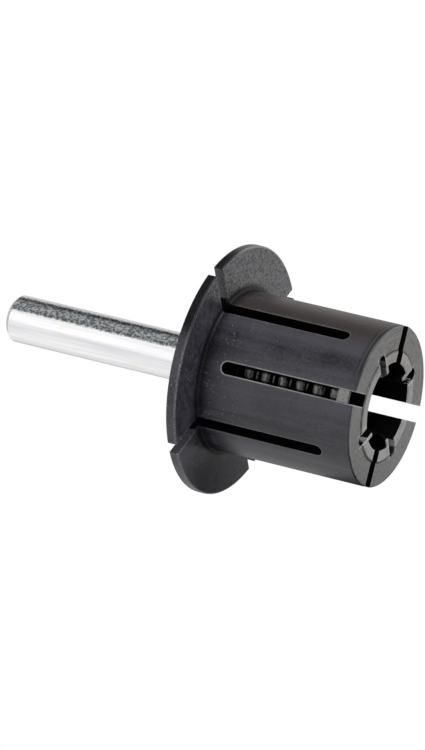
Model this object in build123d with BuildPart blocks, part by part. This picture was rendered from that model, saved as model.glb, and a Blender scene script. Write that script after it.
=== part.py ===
# Abrasive wheel mandrel: a plain steel shank that carries a slotted plastic sleeve, which a sprung
# cone spreads in the bore of the wheel.
# The part stands on its front face. +Z runs back along the shank, and the side of the sleeve that
# stays whole, its hinge side, faces -Y. Lengths are in millimetres and angles in degrees.

import os
from math import cos, radians, sin, tan

from build123d import *

os.makedirs("parts", exist_ok=True)

# Shank, and the slimmer spindle that carries the cone and the spring in front of it
shank_diameter = 8.0
shank_exposed = 40.5
shank_end_chamfer = 0.9
spindle_diameter = 7.6
spindle_nose_chamfer = 0.5
spindle_nose_setback = 7.45
grip_groove_depth = 0.3
grip_groove_width = 0.9
grip_groove_spacing = 1.8

# Sleeve body and flange
body_diameter = 27.0
body_length = 27.75
body_front_round = 0.3
bore_diameter = 16.2
flange_diameter = 41.8
flange_thickness = 1.7
flange_edge_round = 0.3
flange_root_round = 0.5

# Slots that let the sleeve spread
slot_width = 2.0
split_width = 2.75
front_slot_gap = 3.65
rear_slot_gap = 5.2
web_setback = 1.05
web_length = 2.0
web_thickness = 0.6

# Retainer ring and its seat in the sleeve
ring_diameter = 18.6
ring_bore_diameter = 14.7
ring_length = 4.6
ring_proud = 0.15
ring_clearance = 0.05
ring_edge_round = 0.2
ring_band_width = 1.0
bead_height = 0.35
bead_width = 1.2
bead_setback = 1.8

# Ribs of the retainer ring, which carry the spring, and the grooves that they stand in
rib_thickness = 0.6
rib_tip_radius_front = 5.9
rib_tip_radius_back = 4.9
rib_tip_slope_length = 1.1
rib_outer_radius = 8.8
rib_bore_gap = 0.4
groove_width = 2.0
groove_end_radius = 10.1
groove_depth = 2.6
groove_turn = 3.0

# Spring
wire_diameter = 1.5
spring_spindle_gap = 0.55
spring_pitch = 3.15
spring_front_setback = 6.15
first_coil_rise = 1.1

# Expander cone and its tapered seat
cone_length = 5.3
seat_length = 6.0
seat_angle = 18.0
cone_clearance = 0.2
cone_tail_setback = 0.2
key_thickness = 1.5
key_outer_radius = 11.5
key_corner_chamfer = 1.0

# Radii worked out from the diameters
shank_radius = shank_diameter / 2
spindle_radius = spindle_diameter / 2
body_radius = body_diameter / 2
bore_radius = bore_diameter / 2
flange_radius = flange_diameter / 2
ring_radius = ring_diameter / 2
ring_bore_radius = ring_bore_diameter / 2
counterbore_radius = ring_radius + ring_clearance
wire_radius = wire_diameter / 2
spring_radius = spindle_radius + spring_spindle_gap + wire_radius

# Heights, from the ring's face at 0 back to the end of the shank
front_z = ring_proud
flange_front_z = front_z + body_length
flange_back_z = flange_front_z + flange_thickness
shank_end_z = flange_back_z + shank_exposed
spindle_nose_z = front_z + spindle_nose_setback
ring_seat_z = ring_length + ring_clearance
spring_front_z = front_z + spring_front_setback
seat_front_z = flange_back_z - seat_length
cone_back_z = flange_back_z - cone_tail_setback
cone_front_z = cone_back_z - cone_length

# Angles about Z: 12 o'clock is +X and 3 o'clock is +Y
hinge_angle = 270
split_angle = 90
plain_slot_angles = (0, 180)
rear_slot_angles = (45, 135, 225, 315)
# The grooves are turned a little from the rear slots
groove_angles = [angle + groove_turn for angle in rear_slot_angles]
# Each rib stands on the side of its groove that is nearest to the 12 or the 6 o'clock slot
rib_sides = (-1, 1, -1, 1)
# Revolved outlines start in the middle of a land, so that no slot lies on their seam
seam_angle = 22.5

# What a cut reaches past a face so that it opens it cleanly
overrun = 1.0


def seat_radius(z):
    """Radius of the tapered seat at height z."""
    return bore_radius - (z - seat_front_z) * tan(radians(seat_angle))


def cone_radius(z):
    """Radius of the expander cone at height z, clear of the seat by the clearance along its normal."""
    return seat_radius(z) - cone_clearance / cos(radians(seat_angle))


def radial_plane(angle):
    """Plane through the axis that faces outwards at an angle, with its y along +Z."""
    outward = (cos(radians(angle)), sin(radians(angle)), 0)
    sideways = (-sin(radians(angle)), cos(radians(angle)), 0)
    return Plane(origin=(0, 0, 0), x_dir=sideways, z_dir=outward)


def meridian_plane(angle):
    """Plane that holds the axis and the direction at an angle, with its x outwards and y along +Z."""
    outward = (cos(radians(angle)), sin(radians(angle)), 0)
    across = (sin(radians(angle)), -cos(radians(angle)), 0)
    return Plane(origin=(0, 0, 0), x_dir=outward, z_dir=across)


def corner(section, radius, z):
    """Vertex of a half section that lies nearest to a radius and a height."""
    return section.vertices().sort_by_distance((radius, z, 0))[0]


def bead_outline(gap):
    """Half section of the snap bead, or with a gap of the groove that it clicks into."""
    foot_radius = ring_radius - overrun / 2
    top_radius = ring_radius + bead_height + gap
    low_z = bead_setback - gap
    high_z = bead_setback + bead_width + gap
    rise = bead_height
    return [(foot_radius, low_z), (ring_radius, low_z), (top_radius, low_z + rise),
            (top_radius, high_z - rise), (ring_radius, high_z), (foot_radius, high_z)]


# Shank: plain round steel, chamfered at both ends. It is turned down to the spindle in front of the
# shoulder that pushes on the back of the cone, with two grip grooves under the cone.
grip_middle_z = (cone_front_z + cone_back_z) / 2
grip_groove_heights = [grip_middle_z - grip_groove_spacing / 2, grip_middle_z + grip_groove_spacing / 2]

with BuildPart() as shank:
    with BuildSketch(Plane.XZ) as shank_section:
        with BuildLine():
            Polyline((0, spindle_nose_z), (spindle_radius, spindle_nose_z), (spindle_radius, cone_back_z),
                     (shank_radius, cone_back_z), (shank_radius, shank_end_z), (0, shank_end_z),
                     close=True)
        make_face()
        chamfer(corner(shank_section, spindle_radius, spindle_nose_z), length=spindle_nose_chamfer)
        chamfer(corner(shank_section, shank_radius, shank_end_z), length=shank_end_chamfer)
        with Locations(*[(spindle_radius, z) for z in grip_groove_heights]):
            Rectangle(2 * grip_groove_depth, grip_groove_width, mode=Mode.SUBTRACT)
    revolve(axis=Axis.Z)

# Expanding sleeve: one moulding with body, flange, ring seat and tapered seat
with BuildPart() as expanding_sleeve:
    with BuildSketch(meridian_plane(seam_angle)) as sleeve_section:
        with BuildLine():
            Polyline((counterbore_radius, front_z), (body_radius, front_z),
                     (body_radius, flange_front_z), (flange_radius, flange_front_z),
                     (flange_radius, flange_back_z), (seat_radius(flange_back_z), flange_back_z),
                     (bore_radius, seat_front_z), (bore_radius, ring_seat_z),
                     (counterbore_radius, ring_seat_z), close=True)
        make_face()
        fillet(corner(sleeve_section, body_radius, front_z), radius=body_front_round)
        fillet(corner(sleeve_section, body_radius, flange_front_z), radius=flange_root_round)
        fillet(corner(sleeve_section, flange_radius, flange_front_z), radius=flange_edge_round)
        fillet(corner(sleeve_section, flange_radius, flange_back_z), radius=flange_edge_round)
        with BuildLine():
            Polyline(*bead_outline(ring_clearance), close=True)
        make_face(mode=Mode.SUBTRACT)
    revolve(axis=Axis.Z)

    # Slots open at the back, which also part the flange into four
    rear_slot_z = front_z + rear_slot_gap + slot_width / 2
    rear_slot_length = flange_back_z + overrun - rear_slot_z
    for angle in rear_slot_angles:
        with BuildSketch(radial_plane(angle)):
            with Locations((0, rear_slot_z + rear_slot_length / 2)):
                Rectangle(slot_width, rear_slot_length)
            with Locations((0, rear_slot_z)):
                Circle(slot_width / 2)
        extrude(amount=flange_radius + overrun, mode=Mode.SUBTRACT)

    # Slots open at the front: two plain ones, and the wider split
    front_slots = [(angle, slot_width) for angle in plain_slot_angles] + [(split_angle, split_width)]
    for angle, width in front_slots:
        end_z = flange_front_z - front_slot_gap - width / 2
        with BuildSketch(radial_plane(angle)):
            with Locations((0, (end_z + front_z - overrun) / 2)):
                Rectangle(width, end_z - front_z + overrun)
            with Locations((0, end_z)):
                Circle(width / 2)
        extrude(amount=body_radius + overrun, mode=Mode.SUBTRACT)

    # Hinge side slot, which a thin web bridges flush with the body
    hinge_slot_end_z = flange_front_z - front_slot_gap - slot_width / 2
    web_front_z = front_z + web_setback
    web_back_z = web_front_z + web_length
    with BuildSketch(radial_plane(hinge_angle)):
        with Locations((0, (web_back_z + hinge_slot_end_z) / 2)):
            Rectangle(slot_width, hinge_slot_end_z - web_back_z)
        with Locations((0, hinge_slot_end_z)):
            Circle(slot_width / 2)
        with Locations((0, (web_front_z + front_z - overrun) / 2)):
            Rectangle(slot_width, web_front_z - front_z + overrun)
    extrude(amount=body_radius + overrun, mode=Mode.SUBTRACT)
    with BuildSketch(radial_plane(hinge_angle)):
        with Locations((0, (web_front_z + web_back_z) / 2)):
            Rectangle(slot_width, web_length + overrun / 2)
    extrude(amount=body_radius - web_thickness, mode=Mode.SUBTRACT)

    # Short grooves in the front face, where the ribs of the ring look out
    groove_round_centre = groove_end_radius - groove_width / 2
    with BuildSketch(Plane.XY.offset(front_z)):
        with PolarLocations(groove_round_centre / 2, len(groove_angles), groove_angles[0]):
            Rectangle(groove_round_centre, groove_width)
        with PolarLocations(groove_round_centre, len(groove_angles), groove_angles[0]):
            Circle(groove_width / 2)
    extrude(amount=groove_depth, mode=Mode.SUBTRACT)

# Retainer ring: a C-shaped snap ring, whole on the hinge side, with four ribs that carry the spring
with BuildPart() as retainer_ring:
    with BuildSketch(Plane.XZ) as ring_section:
        with BuildLine():
            Polyline((ring_bore_radius, 0), (ring_radius, 0), (ring_radius, ring_length),
                     (ring_bore_radius, ring_length), close=True)
        make_face()
        fillet(corner(ring_section, ring_radius, 0), radius=ring_edge_round)
        fillet(corner(ring_section, ring_bore_radius, 0), radius=ring_edge_round)
        with BuildLine():
            Polyline(*bead_outline(0), close=True)
        make_face()
    revolve(axis=Axis.Z)

    # The split goes right through, and the two slits leave a band at the back
    slit_depth = ring_length - ring_band_width
    for angle in plain_slot_angles:
        with BuildSketch(radial_plane(angle)):
            with Locations((0, (slit_depth - overrun) / 2)):
                Rectangle(slot_width, slit_depth + overrun)
        extrude(amount=ring_radius + overrun, mode=Mode.SUBTRACT)
    with BuildSketch(radial_plane(split_angle)):
        with Locations((0, ring_length / 2)):
            Rectangle(split_width, ring_length + 2 * overrun)
    extrude(amount=ring_radius + overrun, mode=Mode.SUBTRACT)

    # Grooves in line with those of the sleeve, to the same depth
    with BuildSketch(Plane.XY):
        with PolarLocations(ring_radius, len(groove_angles), groove_angles[0]):
            Rectangle(2 * (ring_radius - ring_bore_radius + overrun), groove_width)
    extrude(amount=front_z + groove_depth, mode=Mode.SUBTRACT)

    # Ribs: a slanted tip at the front, and a square end at the back for the spring
    for angle, side in zip(groove_angles, rib_sides):
        # The offset runs against the normal of the plane, which points towards smaller angles
        with BuildSketch(meridian_plane(angle).offset(-side * (groove_width + rib_thickness) / 2)):
            with BuildLine():
                Polyline((rib_outer_radius, 0), (rib_tip_radius_front, 0),
                         (rib_tip_radius_back, rib_tip_slope_length),
                         (rib_tip_radius_back, spring_front_z),
                         (bore_radius - rib_bore_gap, spring_front_z),
                         (bore_radius - rib_bore_gap, ring_length), (rib_outer_radius, ring_length),
                         close=True)
            make_face()
        extrude(amount=rib_thickness / 2, both=True)

# Spring: open coils with both ends ground flat. Its first turn crosses the hinge slot just behind
# the ribs, so the helix starts three quarters of a turn before that.
spring_start_z = spring_front_z + first_coil_rise - 0.75 * spring_pitch
spring_end_z = cone_front_z + wire_diameter

with BuildPart() as spring:
    with BuildLine():
        coil = Helix(pitch=spring_pitch, height=spring_end_z - spring_start_z, radius=spring_radius,
                     center=(0, 0, spring_start_z))
    with BuildSketch(Plane(origin=coil @ 0, z_dir=coil % 0)):
        Circle(wire_radius)
    sweep(path=coil, is_frenet=True)
    split(bisect_by=Plane.XY.offset(spring_front_z), keep=Keep.TOP)
    split(bisect_by=Plane.XY.offset(cone_front_z), keep=Keep.BOTTOM)

# Expander cone: moulded on the shank, with four keys that drive the sleeve through its rear slots
with BuildPart() as expander_cone:
    with BuildSketch(Plane.XZ):
        with BuildLine():
            Polyline((0, cone_front_z), (cone_radius(cone_front_z), cone_front_z),
                     (cone_radius(cone_back_z), cone_back_z), (0, cone_back_z), close=True)
        make_face()
    revolve(axis=Axis.Z)
    for angle in rear_slot_angles:
        with BuildSketch(meridian_plane(angle)) as key_section:
            with BuildLine():
                Polyline((0, cone_front_z), (key_outer_radius, cone_front_z),
                         (key_outer_radius, cone_back_z), (0, cone_back_z), close=True)
            make_face()
            chamfer(corner(key_section, key_outer_radius, cone_front_z), length=key_corner_chamfer)
        extrude(amount=key_thickness / 2, both=True)
    add(shank.part, mode=Mode.SUBTRACT)

# Labels and files, one for each piece
pieces = {
    "shank": shank,
    "expanding_sleeve": expanding_sleeve,
    "retainer_ring": retainer_ring,
    "spring": spring,
    "expander_cone": expander_cone,
}
for name, piece in pieces.items():
    piece.part.label = name
    export_step(piece.part, f"parts/{name}.step")
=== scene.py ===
"""Abrasive wheel mandrel: the looks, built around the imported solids.

A plain steel shank carries a slotted black moulding, which a sprung cone spreads in the bore of a
wheel. The part stands on its front face, +Z runs back along the shank and the hinge side of the
moulding faces -Y. All lengths are in metres.
"""

import logging
import math
from collections.abc import Sequence
from dataclasses import dataclass
from enum import Enum
from typing import Any, Union

import bmesh
import bpy
from bpy.types import Material, Mesh, Object
from mathutils import Matrix, Vector


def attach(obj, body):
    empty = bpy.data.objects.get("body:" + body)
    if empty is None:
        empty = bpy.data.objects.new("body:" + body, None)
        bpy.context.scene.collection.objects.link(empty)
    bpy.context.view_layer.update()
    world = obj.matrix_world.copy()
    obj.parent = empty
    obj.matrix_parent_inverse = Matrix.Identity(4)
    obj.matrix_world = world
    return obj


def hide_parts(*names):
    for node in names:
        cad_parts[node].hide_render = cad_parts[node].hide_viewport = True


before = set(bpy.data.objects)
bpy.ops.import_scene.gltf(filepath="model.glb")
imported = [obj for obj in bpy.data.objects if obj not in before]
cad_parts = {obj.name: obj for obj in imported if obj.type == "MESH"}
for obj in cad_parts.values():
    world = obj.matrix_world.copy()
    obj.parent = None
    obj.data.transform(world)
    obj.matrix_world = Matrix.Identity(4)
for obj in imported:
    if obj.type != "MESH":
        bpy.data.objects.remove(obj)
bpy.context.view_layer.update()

MM = 0.001
LOG = logging.getLogger("mandrel")

BODY_RADIUS = 13.5 * MM
FLANGE_RADIUS = 20.9 * MM
FLANGE_FRONT = 27.9 * MM
SHOULDER = 29.4 * MM
SLOT_HALF = 1.0 * MM
SPLIT_HALF = 1.375 * MM
GROOVE_ANGLE = 48.0
GROOVE_TOP = 2.75 * MM
WEB_FRONT = 1.2 * MM
WEB_BACK = 3.2 * MM
FAR = 1.0

# A span is two ends: of a range, or where a mask begins and where it is whole. A band is the middle
# of a mask, and how far from there the mask ends and is whole.
Span = tuple[float, float]
Band = tuple[float, float, float]
Colour = tuple[float, float, float, float]


def grey(tone: float, blue: float = 1.0) -> Colour:
    """Returns a grey that may be a little bluer or yellower than neutral."""
    return (tone, tone * (0.6 + 0.4 * min(blue, 1.0)), tone * blue, 1.0)


class Wire:
    """An output socket that takes part in arithmetic and adds the Math nodes for it."""

    def __init__(self, tree: "TreeBuilder", socket: bpy.types.NodeSocket) -> None:
        """Wraps a socket of a tree."""
        self.tree = tree
        self.socket = socket

    def apply(self, operation: str, other: "Operand" = 0.0, swapped: bool = False) -> "Wire":
        """Adds a Math node for this wire and another value.

        Args:
            operation: The Math node's operation.
            other: A wire or a number.
            swapped: True if the other value comes first.

        Returns:
            The node's result.
        """
        first, second = (other, self) if swapped else (self, other)
        return self.tree.node("ShaderNodeMath", {"operation": operation}, {0: first, 1: second})

    def __add__(self, other: "Operand") -> "Wire":
        """Returns self + other."""
        return self.apply("ADD", other)

    def __sub__(self, other: "Operand") -> "Wire":
        """Returns self - other."""
        return self.apply("SUBTRACT", other)

    def __rsub__(self, other: "Operand") -> "Wire":
        """Returns other - self."""
        return self.apply("SUBTRACT", other, swapped=True)

    def __mul__(self, other: "Operand") -> "Wire":
        """Returns self * other."""
        return self.apply("MULTIPLY", other)

    def __truediv__(self, other: "Operand") -> "Wire":
        """Returns self / other."""
        return self.apply("DIVIDE", other)

    def __gt__(self, other: "Operand") -> "Wire":
        """Returns 1 where self is above other, else 0."""
        return self.apply("GREATER_THAN", other)

    def __lt__(self, other: "Operand") -> "Wire":
        """Returns 1 where self is below other, else 0."""
        return self.apply("LESS_THAN", other)

    def __or__(self, other: "Operand") -> "Wire":
        """Returns the higher one of self and other, which joins two masks."""
        return self.apply("MAXIMUM", other)

    __radd__ = __add__
    __rmul__ = __mul__

    def ramp(self, low: float, high: float) -> "Wire":
        """Makes a smooth step.

        Args:
            low: Where the step is still 0.
            high: Where it has come to 1. It may be the lower one of the two.

        Returns:
            The step.
        """
        start, end = sorted((low, high))
        inputs = {"Value": self, "From Min": start, "From Max": end}
        step = self.tree.node("ShaderNodeMapRange", {"interpolation_type": "SMOOTHSTEP"}, inputs)
        return step if low < high else 1 - step

    def near(self, middle: float, far: float, close: float) -> "Wire":
        """Returns a band round a value, which is 0 from far out and 1 from close in."""
        return (self - middle).apply("ABSOLUTE").ramp(far, close)


Operand = Union[Wire, float, int]


class TreeBuilder:
    """Adds nodes to one shader or geometry tree and links them."""

    def __init__(self, tree: bpy.types.NodeTree) -> None:
        """Wraps a node tree."""
        self.tree = tree

    def node(self, kind: str, settings: dict[str, Any], inputs: dict[Any, Any], output: Any = 0) -> Wire:
        """Adds a node.

        Args:
            kind: The node's type.
            settings: Its properties, and "stops" for the stops of a colour ramp.
            inputs: Values or wires for its sockets, by name, identifier or index.
            output: The output to return, by name or index.

        Returns:
            That output.
        """
        made = self.tree.nodes.new(kind)
        for name, value in settings.items():
            if name == "stops":
                self._set_stops(made.color_ramp, value)
            else:
                setattr(made, name, value)
        for key, value in inputs.items():
            socket = self._socket(made.inputs, key)
            if isinstance(value, Wire):
                self.tree.links.new(value.socket, socket)
            else:
                socket.default_value = value
        return Wire(self, self._socket(made.outputs, output) if made.outputs else None)

    @staticmethod
    def _set_stops(ramp: bpy.types.ColorRamp, stops: Sequence[tuple[float, Colour]]) -> None:
        """Gives a colour ramp its stops.

        Args:
            ramp: The ramp.
            stops: The place from 0 to 1 and the colour of each stop.
        """
        while len(ramp.elements) < len(stops):
            ramp.elements.new(1.0)
        for element, (position, colour) in zip(ramp.elements, stops):
            element.position = position
            element.color = colour

    @staticmethod
    def _socket(sockets: Any, key: Any) -> bpy.types.NodeSocket:
        """Finds a socket.

        Args:
            sockets: A node's inputs or outputs.
            key: An index, an identifier or a name.

        Returns:
            The first socket that fits, an enabled one if there is one.
        """
        if isinstance(key, int):
            return sockets[key]
        named = [s for s in sockets if s.identifier == key or s.name == key]
        enabled = [s for s in named if s.enabled]
        return (enabled or named)[0]

    def mix(self, factor: Operand, first: Any, second: Any) -> Wire:
        """Returns a colour between two colours or wires."""
        inputs = {"Factor_Float": factor, "A_Color": first, "B_Color": second}
        return self.node("ShaderNodeMix", {"data_type": "RGBA"}, inputs, "Result_Color")

    def axes(self, vector: Wire) -> list[Wire]:
        """Returns the X, Y and Z of a vector."""
        split = self.node("ShaderNodeSeparateXYZ", {}, {"Vector": vector}).socket.node.outputs
        return [Wire(self, output) for output in split]

    def ray(self, kind: str) -> Wire:
        """Returns 1 for rays of a kind, such as Camera, else 0."""
        return self.node("ShaderNodeLightPath", {}, {}, f"Is {kind} Ray")


@dataclass(frozen=True)
class SlotPlace:
    """Where a family of slots lies: the middles of its round ends, and its angles about Z in degrees."""

    first: float
    step: float
    half_width: float
    low: float
    high: float
    # how strongly the family's edges show wear and painted highlight
    edge_wear_and_highlight: float = 0.5


class MaterialBuilder(TreeBuilder):
    """A tree of a new material, with its surface coordinates and its shaders at hand."""

    def __init__(self, name: str) -> None:
        """Makes an empty material.

        Args:
            name: The material's name.
        """
        self.material = bpy.data.materials.new(name)
        self.material.use_nodes = True
        self.material.node_tree.nodes.clear()
        super().__init__(self.material.node_tree)
        self.place = self.node("ShaderNodeTexCoord", {}, {}, "Object")
        self.x, self.y, self.z = self.axes(self.place)
        self.radius = (self.x * self.x + self.y * self.y).apply("SQRT")
        self.angle = self.y.apply("ARCTAN2", self.x)

    def beside(self, slot: SlotPlace) -> Wire:
        """Measures the distance from the outline of the nearest slot of a family.

        Args:
            slot: The family.

        Returns:
            How far a point lies outside the outline.
        """
        step = math.radians(slot.step)
        turn = (self.angle - math.radians(slot.first) + step / 2).apply("FLOORED_MODULO", step)
        side = 2 * self.radius * ((turn - step / 2) / 2).apply("SINE")
        beyond = (slot.low - self.z) | (self.z - slot.high) | 0.0
        return (side * side + beyond * beyond).apply("SQRT") - slot.half_width

    def mapped(self, scale: Sequence[float]) -> Wire:
        """Returns the surface coordinates times a scale along each axis."""
        return self.node("ShaderNodeMapping", {}, {"Vector": self.place, "Scale": tuple(scale)})

    def noise(self, size: float, stretch: Sequence[float] = (1, 1, 1), detail: float = 3.0) -> Wire:
        """Makes a smooth noise.

        Args:
            size: The size of its features.
            stretch: How much longer they are along X, Y and Z.
            detail: The number of finer layers.

        Returns:
            The noise, from 0 to 1.
        """
        grid = self.mapped([1 / (size * s) for s in stretch])
        return self.node("ShaderNodeTexNoise", {}, {"Vector": grid, "Scale": 1.0, "Detail": detail})

    def bump(self, height: Wire, distance: float = 0.03 * MM, strength: float = 0.8) -> Wire:
        """Returns the normal of a surface with that height."""
        return self.node("ShaderNodeBump", {}, {"Height": height, "Distance": distance, "Strength": strength})

    def shader(self, inputs: dict[str, Any]) -> Wire:
        """Returns a Principled shader with these inputs."""
        return self.node("ShaderNodeBsdfPrincipled", {}, inputs)

    def paper(self, tone: float, shown: Wire) -> Material:
        """Ends the material as a dull paper of one tone that is clear where it isn't shown."""
        dull = self.node("ShaderNodeBsdfDiffuse", {}, {"Color": grey(tone)})
        return self.layered(shown, self.node("ShaderNodeBsdfTransparent", {}, {}), dull)

    def layered(self, factor: Operand, under: Wire, over: Wire) -> Material:
        """Ends the material with a mix of two shaders and returns it."""
        return self.end(self.node("ShaderNodeMixShader", {}, {0: factor, 1: under, 2: over}))

    def end(self, surface: Wire) -> Material:
        """Ends the material with a shader and returns it."""
        self.node("ShaderNodeOutputMaterial", {}, {"Surface": surface})
        return self.material


@dataclass(frozen=True)
class MouldedPlastic:
    """Black glass-filled plastic with a satin skin, painted near-black inside as painted shade, and worn grey
    along its edges, which is also a painted highlight.
    """

    slots: tuple[SlotPlace, ...]
    grooves: SlotPlace
    face_level: float
    # inward of this radius the walls are painted near-black as painted shade
    painted_shade_radius: float
    seam_radius: float
    tone: float = 0.019
    face_tone: float = 0.1
    blue: float = 1.4
    # the grey of the edges: wear, and a painted highlight where the rounded edges catch light
    edge_wear_and_highlight_tone: float = 0.25
    roughness: float = 0.32
    groove_end: float = 10.3 * MM
    lit_groove: Span = (1.8 * MM, 1.2 * MM)
    # width of the worn line along the edges, which is also a painted highlight
    worn: float = 0.28 * MM
    web_inside: float = 12.6 * MM
    web_middle: float = (WEB_FRONT + WEB_BACK) / 2
    web_width: Span = (1.05 * MM, 0.95 * MM)
    # the two bands of painted sheen along the body, as angle about Z and how far they end and are whole
    upper_painted_sheen: Band = (-0.91, 0.24, 0.04)
    lower_painted_sheen: Band = (-1.75, 0.4, 0.1)
    seam_width: Span = (0.26 * MM, 0.1 * MM)
    rim_line: Band = (0.85 * MM, 0.16 * MM, 0.05 * MM)
    speck_grid: float = 0.7 * MM
    # the near-black of the painted shade inside
    dark: Colour = (0.002, 0.002, 0.0024, 1)
    # the colours of the painted sheen, and of the painted shade band behind the front rim with its painted
    # highlight line
    painted_sheen: Colour = grey(0.05, 1.3)
    rim_painted_shade: Colour = grey(0.006, 1.2)
    rim_shine: Colour = grey(0.05, 1.1)
    seam_dirt: Colour = grey(0.008)
    # spark-eroded grain of the upper flange segment, lighter than elsewhere as painted light
    eroded_grain_and_painted_light: Colour = grey(0.09)
    # the flange rim's worn edge, painted lighter also as a painted highlight
    rim_wear_and_highlight: Colour = grey(0.17)
    flange_grain: Colour = grey(0.045, 1.3)
    # the web's tones, bright as painted light on its front face
    web_painted_light_tones: tuple[Colour, Colour] = (grey(0.11, 0.92), grey(0.22, 0.92))
    speck: Colour = grey(0.22, 0.95)

    def make(self, name: str) -> Material:
        """Makes the material.

        Args:
            name: Its name.

        Returns:
            The material.
        """
        tree = MaterialBuilder(name)
        fine = tree.noise(0.3 * MM, detail=4.0)
        face = tree.z.ramp(self.face_level + 0.1 * MM, self.face_level + 0.03 * MM)
        edge_wear_and_highlight, walls = self._slot_edges(tree, fine)
        web = self._web(tree)
        # painted shade: the walls inside, the slots' walls and the flange's shaded parts go to a near-black
        # shader
        painted_shade = (self._inside(tree, face) | walls) * (1 - web) | self._shade(tree, fine)
        colour, height, rough = self._skin(tree, fine, face)
        # painted light: the web deep in the slot is coloured as bright as a lit front face
        colour = tree.mix(web, colour, tree.mix(fine.ramp(0.3, 0.7), *self.web_painted_light_tones))
        # worn edges, painted lighter also as the highlight on the rounded slot and groove edges
        colour = tree.mix(edge_wear_and_highlight, colour, grey(self.edge_wear_and_highlight_tone, 0.97))
        colour = tree.mix(self._specks(tree), colour, self.speck)
        outer = tree.shader({"Base Color": colour, "Roughness": rough, "Normal": tree.bump(height)})
        # this near-black shader is painted shade, not another plastic
        inner = tree.shader({"Base Color": self.dark, "Roughness": 0.8, "Specular IOR Level": 0.03})
        return tree.layered(painted_shade, outer, inner)

    def _inside(self, tree: MaterialBuilder, face: Wire) -> Wire:
        """Masks the walls inside, which are painted near-black as painted shade.

        Args:
            tree: The material's tree.
            face: The mask of the front face.

        Returns:
            The mask, without the one groove that is lit.
        """
        within = tree.radius.ramp(self.painted_shade_radius, self.painted_shade_radius - 0.2 * MM) * (1 - face)
        within = within * tree.z.ramp(SHOULDER + 0.1 * MM, SHOULDER)
        lit = (tree.x < -4 * MM) * (tree.y > 4 * MM) * tree.z.ramp(*self.lit_groove)
        return within * (1 - lit * tree.radius.ramp(self.groove_end + 0.1 * MM, self.groove_end))

    def _shade(self, tree: MaterialBuilder, fine: Wire) -> Wire:
        """Masks the painted shade in the flange's corner, on its lower segment and on its upper rim.

        Args:
            tree: The material's tree.
            fine: A fine noise.

        Returns:
            The mask.
        """
        root, rim, front = BODY_RADIUS, FLANGE_RADIUS, FLANGE_FRONT
        corner = tree.radius.ramp(root + 1.6 * MM, root + 0.4 * MM) * tree.z.ramp(front - 2.5 * MM, front)
        corner = corner * tree.z.ramp(front + 0.3 * MM, front + 0.2 * MM)
        outside = tree.radius.ramp(root - 0.3 * MM, root - 0.1 * MM)
        lower = tree.x.ramp(-8 * MM, -12 * MM) * tree.y.ramp(-12 * MM, -1 * MM) * (tree.z > front - 0.1 * MM)
        lower = lower * tree.radius.ramp(rim, rim - 0.3 * MM)
        upper = tree.radius.ramp(rim - 0.25 * MM, rim - 0.15 * MM)
        upper = upper * tree.y.ramp(-6 * MM, -12 * MM) * tree.x.ramp(1 * MM, 6 * MM)
        # painted shade: the corner by the body, the lower segment in the body's shadow, and the upper rim
        return 0.75 * corner * outside | 0.8 * upper | lower * (0.35 + 0.35 * fine)

    def _skin(self, tree: MaterialBuilder, fine: Wire, face: Wire) -> tuple[Wire, Wire, Wire]:
        """Makes the skin.

        Args:
            tree: The material's tree.
            fine: A fine noise.
            face: The mask of the front face.

        Returns:
            Its colour, its height and its roughness.
        """
        cloud = tree.noise(5 * MM)
        streaks = tree.noise(1.3 * MM, (1, 1, 14))
        scratches = tree.noise(0.25 * MM, (1, 1, 6), 2.0)
        grain = tree.noise(0.36 * MM, detail=1.0)
        root, rim, front = BODY_RADIUS, FLANGE_RADIUS, FLANGE_FRONT
        flange = tree.radius.ramp(root + 0.5 * MM, root + 1.0 * MM)
        body = 1 - flange
        # the upper flange segment: spark-eroded grain, painted lighter there as painted light
        eroded = flange * tree.x.ramp(9 * MM, 11 * MM) * tree.z.ramp(front + 0.3 * MM, front + 0.2 * MM)
        # worn front edge of the flange rim, lighter also as a painted highlight
        edge = tree.radius.ramp(rim - 0.4 * MM, rim - 0.2 * MM)
        edge = edge * tree.z.ramp(front + 0.4 * MM, front + 0.15 * MM) * fine.ramp(0.25, 0.5)
        blend = (streaks * 0.4 + cloud * 0.2 + fine * 0.4).ramp(0.4, 0.6)
        colour = tree.mix(blend, *(grey(self.tone * share, self.blue) for share in (0.45, 1.65)))
        coats = self._body_coats(tree, cloud, body) + self._face_coats(tree, fine, face) + [
            (eroded * grain.ramp(0.44, 0.56), self.eroded_grain_and_painted_light),
            (edge * 0.8, self.rim_wear_and_highlight),
            (0.6 * flange * (1 - eroded) * grain.ramp(0.45, 0.6), self.flange_grain),
        ]
        for mask, coat in coats:
            colour = tree.mix(mask, colour, coat)
        height = grain * (0.4 + 1.4 * eroded) + 0.8 * fine + (streaks + 0.8 * scratches) * body
        rough = self.roughness + 0.12 * cloud + 0.15 * eroded + 0.1 * face + 0.3 * (fine - 0.5)
        return colour, height, rough

    def _body_coats(self, tree: MaterialBuilder, cloud: Wire, body: Wire) -> list[tuple[Wire, Colour]]:
        """Lists the painted sheen bands, the painted warm reflection on the top and the painted shade band
        with its painted highlight line behind the front rim.

        Args:
            tree: The material's tree.
            cloud: A coarse noise.
            body: The mask of the body.

        Returns:
            The mask and the colour of each coat.
        """
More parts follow.
